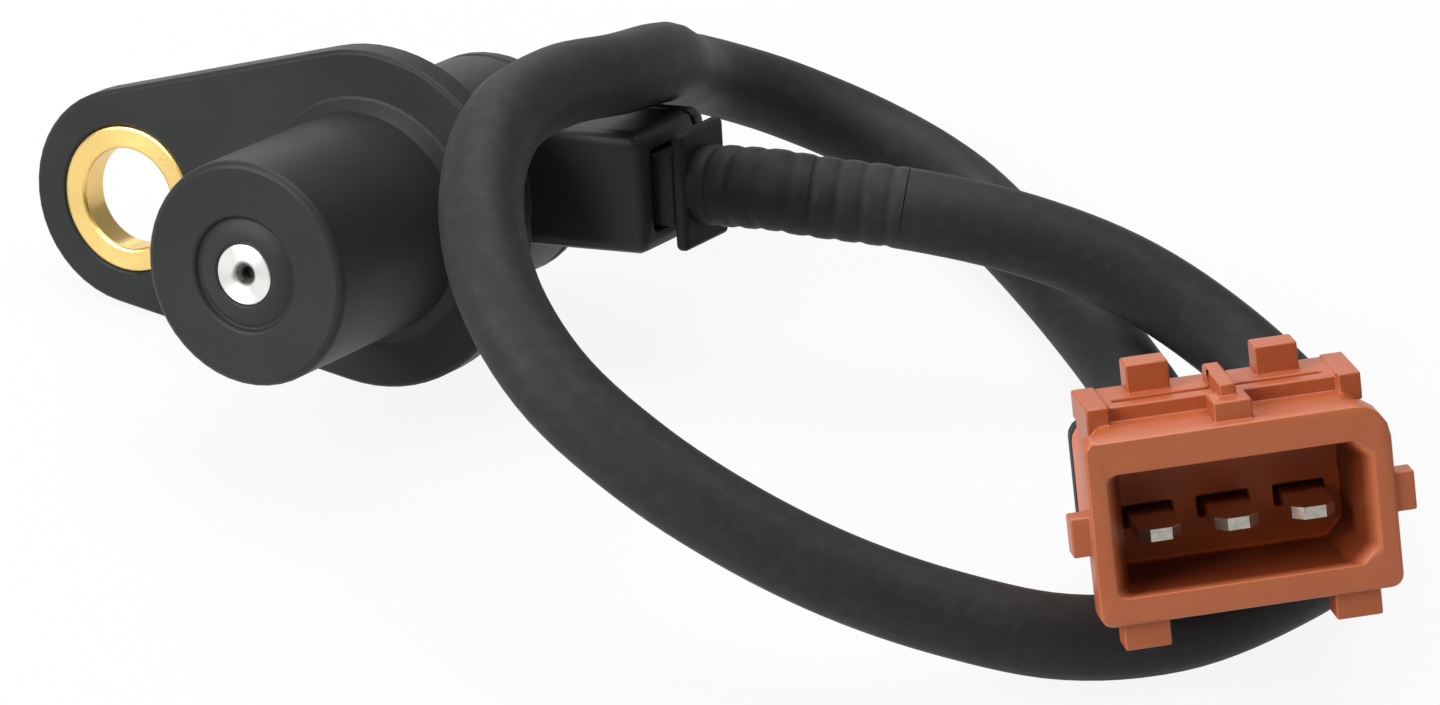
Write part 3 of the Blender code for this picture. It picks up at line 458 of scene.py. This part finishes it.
def dressed_copy(node, name, edge, angle=ROUNDED_FROM):
    """A merged, edge-rounded copy of a solid, which stands for it."""
    source = NODES[node]
    piece = source.copy()
    piece.data = source.data.copy()
    piece.name = name
    piece.data.name = name
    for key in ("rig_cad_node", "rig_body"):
        if key in piece:
            del piece[key]
    bpy.context.scene.collection.objects.link(piece)
    piece.parent = None
    activate(piece)
    bpy.ops.object.mode_set(mode="EDIT")
    bpy.ops.mesh.select_all(action="SELECT")
    bpy.ops.mesh.remove_doubles(threshold=WELD_DISTANCE)
    bpy.ops.mesh.tris_convert_to_quads(face_threshold=FLAT_ANGLE, shape_threshold=math.pi)
    bpy.ops.object.mode_set(mode="OBJECT")
    round_edges(piece, edge, angle=angle)
    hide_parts(node)
    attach(piece, "root")
    return piece


def add_round(name, radius, depth, segments):
    """A closed cylinder on the Z axis, left in edit mode with nothing selected."""
    deselect()
    bpy.ops.mesh.primitive_cylinder_add(vertices=segments, radius=radius, depth=depth)
    piece = bpy.context.active_object
    piece.name = name
    piece.data.name = name
    bpy.ops.object.mode_set(mode="EDIT")
    bpy.ops.mesh.select_mode(type="FACE")
    bpy.ops.mesh.select_all(action="DESELECT")
    return piece


def select_faces(piece, test):
    """In edit mode, select the faces that pass a test, and no others."""
    bpy.ops.mesh.select_all(action="DESELECT")
    bpy.ops.object.mode_set(mode="OBJECT")
    for face in piece.data.polygons:
        face.select = test(face)
    bpy.ops.object.mode_set(mode="EDIT")


def round_edges(piece, width, segments=2, angle=ROUNDED_FROM):
    """Round every edge sharper than an angle, shade the rest smooth, and keep flat faces flat."""
    smooth(piece, angle)
    step = piece.modifiers.new("rounded edges", "BEVEL")
    step.width = width
    step.segments = segments
    step.limit_method = "ANGLE"
    step.angle_limit = math.radians(angle)
    step.miter_outer = "MITER_ARC"
    step.use_clamp_overlap = False
    bpy.ops.object.modifier_apply(modifier=step.name)
    smooth(piece, SMOOTHED_BELOW)
    step = piece.modifiers.new("flat faces", "WEIGHTED_NORMAL")
    step.mode = "FACE_AREA"
    step.weight = 100
    step.keep_sharp = True
    bpy.ops.object.modifier_apply(modifier=step.name)


def seat(piece, place):
    """Put a piece where it belongs, with its place in its mesh."""
    activate(piece)
    piece.matrix_world = place
    bpy.ops.object.transform_apply(location=True, rotation=True, scale=True)


def smooth_route(points):
    """Closely spaced points on a smooth curve through the route's own points."""
    ends = [2 * points[0] - points[1], *points, 2 * points[-1] - points[-2]]
    fine = []
    for before, start, end, after in zip(ends, ends[1:], ends[2:], ends[3:]):
        span = (end - start).length
        lead_out = (end - before).normalized() * span / 3
        lead_in = (after - start).normalized() * span / 3
        handles = start + lead_out, end - lead_in
        fine += interpolate_bezier(start, *handles, end, STEPS_PER_SPAN)[:-1]
    return fine + [points[-1]]


def walk(fine, start, end, step):
    """Points on a fine curve between two lengths along it, about one step apart."""
    lengths = [0.0]
    for a, b in zip(fine, fine[1:]):
        lengths.append(lengths[-1] + (b - a).length)
    end = lengths[-1] + end if end <= 0 else end
    count = max(1, round((end - start) / step))
    found, i = [], 0
    for k in range(count + 1):
        goal = start + (end - start) * k / count
        while i < len(lengths) - 2 and lengths[i + 1] < goal:
            i += 1
        share = (goal - lengths[i]) / (lengths[i + 1] - lengths[i])
        found.append(fine[i].lerp(fine[i + 1], share))
    return found


def cable_route(sizes):
    """The lead's axis from the gland's face to the boot's end."""
    head, connector = head_frame(), connector_frame()
    radius = sizes.cable_diameter / 2
    start = head @ Vector((GLAND_END + GAP, GLAND_DEPTH, OUTLET_RISE))
    straight = head @ Vector((GLAND_END + 2 * radius, GLAND_DEPTH, OUTLET_RISE))
    end = connector @ Vector((0, BOOT_END + 2 * GAP, -TAB_DROP))
    before_end = connector @ Vector((0, BOOT_END + 2 * radius, -TAB_DROP))
    return smooth_route([start, straight, *(Vector(p) for p in ROUTE), before_end, end])


def tube_curve(name, points, radius, radii=None):
    """A tube along points, with capped ends and, where given, a radius at each point."""
    curve = bpy.data.curves.new(name, "CURVE")
    curve.dimensions = "3D"
    curve.bevel_depth = radius
    curve.bevel_resolution = TUBE_RESOLUTION
    curve.use_fill_caps = True
    spline = curve.splines.new("POLY")
    spline.points.add(len(points) - 1)
    for i, point in enumerate(points):
        spline.points[i].co = (*point, 1)
        spline.points[i].radius = radii[i] / radius if radii else 1.0
    spline.use_smooth = True
    obj = bpy.data.objects.new(name, curve)
    bpy.context.scene.collection.objects.link(obj)
    return obj


def moulded_plastic(name, colour):
    """Satin moulding: fine spark-eroded grain, faint flow clouds and slightly polished patches."""
    finish = Finish(name, colour, 0.5, IOR=1.48, Specular_IOR_Level=0.25)
    clouds = finish.noise(60.0, 3.0)
    fine = finish.noise(2600.0, 2.0)
    patches = finish.noise(240.0, 3.0, 0.6)
    lighter = [min(1.0, c * 1.35 + 0.004) for c in colour]
    cloudy = finish.ramp(clouds, (0.35, 0.0), (0.7, 1.0))
    finish.feed("Base Color", finish.mix(cloudy, colour, lighter))
    finish.feed("Roughness", patches * 0.16 + 0.42)
    pits = finish.bump(fine, 0.00003, 0.55)
    finish.feed("Normal", finish.bump(clouds, 0.0002, 0.12, pits))
    return finish


def lead_rubber(name, colour, sensor=None):
    """Extruded rubber: dull, with dust and shallow waves, and painted shade towards the gland if
    told where the sensor is.
    """
    finish = Finish(name, colour, 0.6, IOR=1.5, Specular_IOR_Level=0.22)
    dust = finish.noise(900.0, 4.0, 0.65)
    waves = finish.noise(110.0, 2.0)
    greyer = [c * 1.5 + 0.006 for c in colour]
    body = finish.mix(finish.ramp(dust, (0.45, 0.0), (0.75, 0.6)), colour, greyer)
    if sensor:
        # Painted shade: the rubber is painted at a fifth of its colour up to 24 mm along the
        # sensor's X, fading out by 34 mm.
        along = finish.part(finish.framed(sensor), "X")
        gland_shade = finish.ramp(along / (40 * MM), (0.60, 1.0), (0.85, 0.0))
        body = finish.mix(gland_shade, body, [c * 0.2 for c in colour])
    finish.feed("Base Color", body)
    finish.feed("Roughness", finish.noise(320.0, 2.0) * 0.14 + 0.55)
    skin = finish.bump(dust, 0.00004, 0.4)
    finish.feed("Normal", finish.bump(waves, 0.0005, 0.10, skin))
    return finish


def connector_plastic(name, colour, place):
    """Filled nylon: orange brown with chalky specks, a painted highlight on the front face, painted
    shade in the mouth and painted light on its back wall.
    """
    finish = Finish(name, colour, 0.4, IOR=1.5)
    own = finish.framed(place)
    depth = finish.part(own, "Y")
    flow = finish.noise(140.0, 4.0, 0.6)
    specks = finish.noise(1500.0, 2.0)
    deep = [colour[0] * 0.86, colour[1] * 0.80, colour[2] * 0.76]
    # pale tints the chalky specks, and is also the painted highlight on the front face.
    pale = [colour[0] * 1.12, colour[1] * 1.45, colour[2] * 1.9]
    # shade is the painted shade inside the mouth.
    shade = [colour[0] * 0.33, colour[1] * 0.24, colour[2] * 0.15]
    body = finish.mix(finish.ramp(flow, (0.3, 0.0), (0.7, 1.0)), deep, colour)
    body = finish.mix(finish.ramp(specks, (0.55, 0.0), (0.8, 0.35)), body, pale)
    # Painted highlight: the front face and the outside's first millimetre are painted paler, in
    # mottled patches.
    rim = finish.ramp(depth / (2 * MM), (0.10, 1.0), (0.45, 0.0))
    body = finish.mix(rim * (flow * 0.5 + 0.35), body, pale)
    # Painted light: the mouth's back wall, from 7 mm deep, is painted lighter than the painted
    # shade before it.
    lit = [colour[0] * 1.3, colour[1] * 1.0, colour[2] * 0.2]
    shade = finish.mix(finish.ramp(depth / (10 * MM), (0.70, 0.0), (0.75, 1.0)), shade, lit)
    # Where the painted shade goes: within the opening, from about a quarter millimetre deep.
    inside = finish.ramp(depth / (2 * MM), (0.12, 0.0), (0.55, 1.0))
    for axis, reach in (("X", MOUTH_HALF_WIDTH), ("Z", MOUTH_HALF_HEIGHT)):
        off = finish.part(own, axis)
        inside = inside * off.math("COMPARE", off, 0.0, reach)
    finish.feed("Base Color", finish.mix(inside, body, shade))
    finish.feed("Roughness", flow * 0.18 + 0.32)
    finish.feed("Normal", finish.bump(specks, 0.00003, 0.45))
    return finish


def turned_metal(name, colour, roughness, ring_scale, place):
    """Turned metal with fine tool rings about its own axis, and a little tarnish."""
    finish = Finish(name, colour, roughness, 1.0)
    rings = finish.node(
        "ShaderNodeTexWave",
        {"wave_type": "RINGS", "rings_direction": "Y", "wave_profile": "SIN"},
        {"Vector": finish.framed(place), "Scale": ring_scale, "Distortion": 0.6, "Detail": 2.0},
        "Fac",
    )
    tarnish = finish.noise(420.0, 4.0, 0.6)
    darker = [c * 0.72 for c in colour]
    dulled = finish.ramp(tarnish, (0.4, 0.0), (0.8, 0.6))
    finish.feed("Base Color", finish.mix(dulled, colour, darker))
    finish.feed("Roughness", tarnish * 0.2 + (roughness - 0.08))
    finish.feed("Normal", finish.bump(rings, 0.000015, 0.5))
    return finish


def brass(colour, place):
    """Bright turned brass, with the bore's wall painted darker and browner as painted shade."""
    finish = turned_metal("turned_brass", colour, 0.3, 2600.0, place)
    # Painted shade: the bore's wall is painted darker and browner.
    bore = finish.ramp(finish.radius(finish.framed(place)) / (10 * MM), (0.352, 1.0), (0.362, 0.0))
    bore_shade = [colour[0] * 0.50, colour[1] * 0.44, colour[2] * 0.55]
    finish.feed("Base Color", finish.mix(bore * 0.8, colour, bore_shade))
    return finish


def pole_steel(colour, place):
    """Bright faced steel, with the drilled centre painted near black and dull as painted shade."""
    finish = turned_metal("turned_steel", colour, 0.3, 5200.0, place)
    radius = finish.radius(finish.framed(place))
    # Painted shade: the drilled centre is painted near black, dull and hardly metallic, mottled by
    # noise.
    hole_shade = finish.ramp(radius / (2 * MM), (0.34, 1.0), (0.47, 0.0))
    hole_shade = hole_shade * (finish.noise(1400.0, 3.0, 0.6) * 0.5 + 0.7)
    finish.feed("Base Color", finish.mix(hole_shade, colour, (0.035, 0.035, 0.03)))
    finish.feed("Metallic", 1.0 - hole_shade * 0.8)
    finish.feed("Roughness", hole_shade * 0.4 + 0.3)
    return finish


def plain_finish(name, colour, roughness, metallic=0.0, scale=500.0):
    """A small inner piece's finish: its colour with slight mottling and grain."""
    finish = Finish(name, colour, roughness, metallic)
    mottle = finish.noise(scale, 3.0)
    darker = [c * 0.8 for c in colour]
    mottled = finish.ramp(mottle, (0.35, 0.0), (0.7, 1.0))
    finish.feed("Base Color", finish.mix(mottled, darker, colour))
    finish.feed("Normal", finish.bump(mottle, 0.00003, 0.4))
    return finish


class SENSOR_OT_stage(bpy.types.Operator):
    """Add the pale floor, the soft lights, the world and the camera"""

    bl_idname = "sensor.stage"
    bl_label = "Stage"

    def execute(self, context):
        self.add_floor(context.scene.sensor_colours.floor)
        self.add_world()
        self.add_lights()
        self.add_camera(context.scene)
        return {"FINISHED"}

    def add_floor(self, colour):
        deselect()
        bpy.ops.mesh.primitive_grid_add(x_subdivisions=2, y_subdivisions=2, size=FLOOR_SIDE)
        floor = bpy.context.active_object
        floor.name = "floor"
        finish = Finish("floor_paper", list(colour), 0.9)
        tree = finish.tree
        seen = finish.node("ShaderNodeLightPath", output="Is Camera Ray")
        reflected = finish.node("ShaderNodeLightPath", output="Is Glossy Ray")
        white = finish.node("ShaderNodeEmission", None, {"Color": (1, 1, 1, 1), "Strength": 1.0})
        whiteness = seen * FLOOR_SEEN + reflected * FLOOR_REFLECTED
        shade = finish.node("ShaderNodeMixShader", None, {0: whiteness})
        mixer = shade.socket.node
        tree.links.new(finish.shader.outputs[0], mixer.inputs[1])
        tree.links.new(white.socket, mixer.inputs[2])
        tree.links.new(mixer.outputs[0], tree.nodes["Material Output"].inputs["Surface"])
        wear(floor, finish)

    def add_world(self):
        world = bpy.data.worlds.new("studio")
        bpy.context.scene.world = world
        world.use_nodes = True
        tree = world.node_tree
        background = tree.nodes["Background"]
        path = tree.nodes.new("ShaderNodeLightPath")
        seen = Wire(tree, path.outputs["Is Camera Ray"])
        glossy = Wire(tree, path.outputs["Is Glossy Ray"])
        through = Wire(tree, path.outputs["Is Transmission Ray"])
        background.inputs["Color"].default_value = (1.0, 1.0, 1.0, 1.0)
        strength = (seen + through) * WORLD_SEEN + glossy * WORLD_REFLECTED + WORLD_AMBIENT
        tree.links.new(strength.socket, background.inputs["Strength"])

    def add_lights(self):
        """A broad softbox overhead, a long one behind on the left, and a key at the front left."""
        middle = Vector(VIEW_TARGET)
        for name, place, width, height, power in LAMPS:
            lamp = bpy.data.lights.new(name, "AREA")
            lamp.shape = "RECTANGLE"
            lamp.size = width
            lamp.size_y = height
            lamp.energy = power
            obj = bpy.data.objects.new(name, lamp)
            bpy.context.scene.collection.objects.link(obj)
            obj.location = middle + Vector(place)
            obj.rotation_euler = (-Vector(place)).to_track_quat("-Z", "Y").to_euler()

    def add_camera(self, scene):
        camera = bpy.data.cameras.new("camera")
        camera.sensor_width = 36.0
        camera.sensor_fit = "HORIZONTAL"
        camera.lens = scene.sensor_sizes.lens
        camera.clip_start = 0.01
        camera.clip_end = 20.0
        obj = bpy.data.objects.new("camera", camera)
        scene.collection.objects.link(obj)
        towards = Vector(
            (
                math.sin(VIEW_AZIMUTH) * math.cos(VIEW_ELEVATION),
                -math.cos(VIEW_AZIMUTH) * math.cos(VIEW_ELEVATION),
                math.sin(VIEW_ELEVATION),
            )
        )
        obj.location = Vector(VIEW_TARGET) + towards * VIEW_DISTANCE
        obj.rotation_euler = (-towards).to_track_quat("-Z", "Y").to_euler()
        scene.camera = obj


class SENSOR_OT_lead(bpy.types.Operator):
    """Add the rubber lead on its route, with the ribbed sleeve at the sensor"""

    bl_idname = "sensor.lead"
    bl_label = "Lead"

    def execute(self, context):
        sizes = context.scene.sensor_sizes
        colour = list(context.scene.sensor_colours.rubber)
        rubber = lead_rubber("lead_rubber", colour)
        fine = cable_route(sizes)
        radius = sizes.cable_diameter / 2
        sleeve = self.add_sleeve(sizes, fine, radius)
        # The sleeve's rubber is painted darker near the gland: painted shade.
        wear(sleeve, lead_rubber("sleeve_rubber_painted_shade", colour, head_frame()))
        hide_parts("strain_relief")
        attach(sleeve, "root")
        line = walk(fine, sizes.sleeve_length, 0, LEAD_STEP)
        lead = tube_curve("lead_jacket", line, radius)
        wear(lead, rubber)
        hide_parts("cable")
        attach(lead, "root")
        length = sum((b - a).length for a, b in zip(line, line[1:]))
        return {"FINISHED"}

    def add_sleeve(self, sizes, fine, radius):
        """The sleeve: broad ribs with narrow soft grooves between them."""
        steps = STEPS_PER_RIB * sizes.sleeve_ribs
        points = walk(fine, 0, sizes.sleeve_length, sizes.sleeve_length / steps)
        radii = []
        for i in range(len(points)):
            phase = 2 * math.pi * i / STEPS_PER_RIB
            groove = (0.5 - 0.5 * math.cos(phase)) ** GROOVE_SHARPNESS
            radii.append(radius - sizes.sleeve_rib_depth * groove)
        towards_gland = (points[0] - points[1]).normalized()
        points.insert(0, points[0] + towards_gland * GAP)
        radii.insert(0, radius)
        return tube_curve("ribbed_sleeve", points, radius, radii)


class SENSOR_OT_head(bpy.types.Operator):
    """Dress the sensor's moulding, its rear cover and the gland"""

    bl_idname = "sensor.head"
    bl_label = "Sensor moulding"

    def execute(self, context):
        colours = context.scene.sensor_colours
        edge = context.scene.sensor_sizes.edge_round
        plastic = moulded_plastic("sensor_plastic", list(colours.plastic))
        for node, name in (("sensor_housing", "moulded_body"), ("rear_cover", "moulded_cover")):
            piece = dressed_copy(node, name, edge)
            wear(piece, plastic)
        gland = dressed_copy("cable_gland", "moulded_gland", edge)
        # The gland's rubber is painted at 0.4 of the lead's colour: painted shade.
        wear(gland, lead_rubber("gland_rubber_painted_shade", [c * 0.4 for c in colours.rubber]))
        return {"FINISHED"}


class SENSOR_OT_bush(bpy.types.Operator):
    """Turn the brass bush in the ear"""

    bl_idname = "sensor.bush"
    bl_label = "Bush"

    def execute(self, context):
        radius = BUSH_RADIUS + PRESS_OVERSIZE
        bush = add_round("brass_bush", radius, FLANGE_THICKNESS, BUSH_SIDES)
        select_faces(bush, lambda face: abs(face.normal.z) > 0.9)
        bpy.ops.mesh.inset(thickness=BUSH_RADIUS - BUSH_BORE_RADIUS)
        bpy.ops.mesh.bridge_edge_loops()
        bpy.ops.object.mode_set(mode="OBJECT")
        round_edges(bush, BUSH_ROUNDING, 3)
        place = head_frame() @ Matrix.Translation((-EAR_DISTANCE, FLANGE_THICKNESS / 2, 0))
        seat(bush, place @ TO_THE_FRONT)
        wear(bush, brass(list(context.scene.sensor_colours.brass), place))
        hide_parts("mounting_bush")
        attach(bush, "root")
        return {"FINISHED"}


class SENSOR_OT_pole(bpy.types.Operator):
    """Turn the pole, with the drilled centre that shows in the probe's tip"""

    bl_idname = "sensor.pole"
    bl_label = "Pole"

    def execute(self, context):
        length = PROBE_LENGTH + POLE_BACK
        radius = POLE_RADIUS + PRESS_OVERSIZE
        pole = add_round("steel_pole", radius, length, POLE_SIDES)
        select_faces(pole, lambda face: face.normal.z > 0.9)
        bpy.ops.mesh.inset(thickness=radius - CENTRE_HOLE_RADIUS)
        self.push_in(CENTRE_HOLE_DEPTH)
        taper = PILOT_RADIUS / CENTRE_HOLE_RADIUS
        bpy.ops.transform.resize(value=(taper, taper, 1))
        self.push_in(PILOT_DEPTH - CENTRE_HOLE_DEPTH)
        bpy.ops.object.mode_set(mode="OBJECT")
        round_edges(pole, POLE_ROUNDING)
        place = head_frame() @ Matrix.Translation((0, POLE_BACK - length / 2, 0))
        seat(pole, place @ TO_THE_FRONT)
        wear(pole, pole_steel([0.90, 0.90, 0.87], place))
        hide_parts("pole_pin")
        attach(pole, "root")
        return {"FINISHED"}

    def push_in(self, depth):
        bpy.ops.mesh.extrude_region_move(TRANSFORM_OT_translate={"value": (0, 0, -depth)})


class SENSOR_OT_connector(bpy.types.Operator):
    """Dress the connector's housing, its boot and its tabs"""

    bl_idname = "sensor.connector"
    bl_label = "Connector"

    def execute(self, context):
        colours = context.scene.sensor_colours
        shell = dressed_copy(
            "connector_housing", "connector_shell", CONNECTOR_ROUNDING, ROUNDED_FROM_CONNECTOR
        )
        nylon = connector_plastic("connector_nylon", list(colours.connector), connector_frame())
        wear(shell, nylon)
        boot = dressed_copy("cable_boot", "moulded_boot", context.scene.sensor_sizes.edge_round)
        wear(boot, lead_rubber("boot_rubber", list(colours.rubber)))
        tinned = plain_finish("tinned_tab", (0.97, 0.91, 0.80), 0.22, 1.0, 1800.0)
        for i in (1, 2, 3):
            wear(NODES[f"contact_tab_{i}"], tinned)
        wear(NODES["terminal_lock"], plain_finish("lock_nylon", (0.72, 0.70, 0.64), 0.5))
        return {"FINISHED"}


class SENSOR_OT_inside(bpy.types.Operator):
    """Finish what the mouldings hide: coil, magnet, terminals and cores"""

    bl_idname = "sensor.inside"
    bl_label = "Inner pieces"

    def execute(self, context):
        nylon = plain_finish("bobbin_nylon", (0.72, 0.70, 0.64), 0.5)
        wire = plain_finish("enamelled_wire", (0.50, 0.17, 0.06), 0.3, 1.0, 3000.0)
        ferrite = plain_finish("sintered_magnet", (0.16, 0.16, 0.17), 0.45, 0.8, 900.0)
        steel = plain_finish("yoke_steel", (0.6, 0.6, 0.61), 0.35, 1.0, 900.0)
        tin = plain_finish("tinned_terminal", (0.8, 0.8, 0.77), 0.28, 1.0, 1500.0)
        for node, finish in (
            ("coil_bobbin", nylon),
            ("terminal_carrier", nylon),
            ("coil_winding", wire),
            ("magnet", ferrite),
            ("yoke_disc", steel),
        ):
            wear(NODES[node], finish)
        insulation = (
            ("red_insulation", (0.42, 0.03, 0.02)),
            ("white_insulation", (0.62, 0.62, 0.58)),
            ("brown_insulation", (0.16, 0.07, 0.03)),
        )
        for i, (name, colour) in enumerate(insulation, 1):
            finish = plain_finish(name, colour, 0.45)
            wear(NODES[f"lead_core_{i}"], finish)
            wear(NODES[f"connector_core_{i}"], finish)
            wear(NODES[f"lead_terminal_{i}"], tin)
        return {"FINISHED"}


STEPS = (
    SENSOR_OT_stage,
    SENSOR_OT_head,
    SENSOR_OT_bush,
    SENSOR_OT_pole,
    SENSOR_OT_connector,
    SENSOR_OT_lead,
    SENSOR_OT_inside,
)


class SENSOR_PT_panel(bpy.types.Panel):
    """Lists the sensor's groups of pieces"""

    bl_idname = "SENSOR_PT_panel"
    bl_label = "Crankshaft Position Sensor"
    bl_space_type = "VIEW_3D"
    bl_region_type = "UI"
    bl_category = "Sensor"

    def draw(self, context):
        layout = self.layout
        for step in STEPS:
            layout.operator(step.bl_idname)
        for group in (context.scene.sensor_sizes, context.scene.sensor_colours):
            for name in group.__annotations__:
                layout.prop(group, name)


CLASSES = (SensorSizes, SensorColours, *STEPS, SENSOR_PT_panel)


def register():
    for cls in CLASSES:
        bpy.utils.register_class(cls)
    bpy.types.Scene.sensor_sizes = bpy.props.PointerProperty(type=SensorSizes)
    bpy.types.Scene.sensor_colours = bpy.props.PointerProperty(type=SensorColours)


def unregister():
    del bpy.types.Scene.sensor_colours
    del bpy.types.Scene.sensor_sizes
    for cls in reversed(CLASSES):
        bpy.utils.unregister_class(cls)


def main():
    register()
    bpy.context.scene.view_settings.view_transform = "Standard"
    bpy.ops.sensor.stage()
    bpy.ops.sensor.head()
    bpy.ops.sensor.bush()
    bpy.ops.sensor.pole()
    bpy.ops.sensor.connector()
    bpy.ops.sensor.lead()
    bpy.ops.sensor.inside()


if __name__ == "__main__":
    main()
